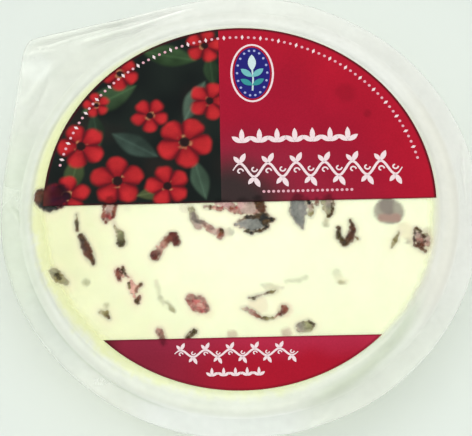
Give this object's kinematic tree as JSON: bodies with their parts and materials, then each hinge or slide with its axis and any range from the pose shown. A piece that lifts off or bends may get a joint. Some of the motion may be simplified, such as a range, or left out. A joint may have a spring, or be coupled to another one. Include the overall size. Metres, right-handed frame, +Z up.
{
  "type": "sealed round cheese pack",
  "caption": "Round of white cheese with dried fruit, sealed in a clear formed film pack with a flat flange, a peel corner and printed fields on top.",
  "frame": {"origin": "centre of the flat base, on the axis of the cheese round", "axes": "+Z up out of the printed face, +X along the straight edge of the larger printed field, +Y towards that field's curved edge; the peel corner is towards -X +Y"},
  "size_m": [0.1104, 0.1104, 0.021],
  "materials": {
    "film": "clear flexible film, pale cheese showing through",
    "print": "dark red print on film"
  },
  "bodies": {
    "root": {"sealed_pack": "film", "label_upper": "print", "label_lower": "print"}
  },
  "joints": []
}
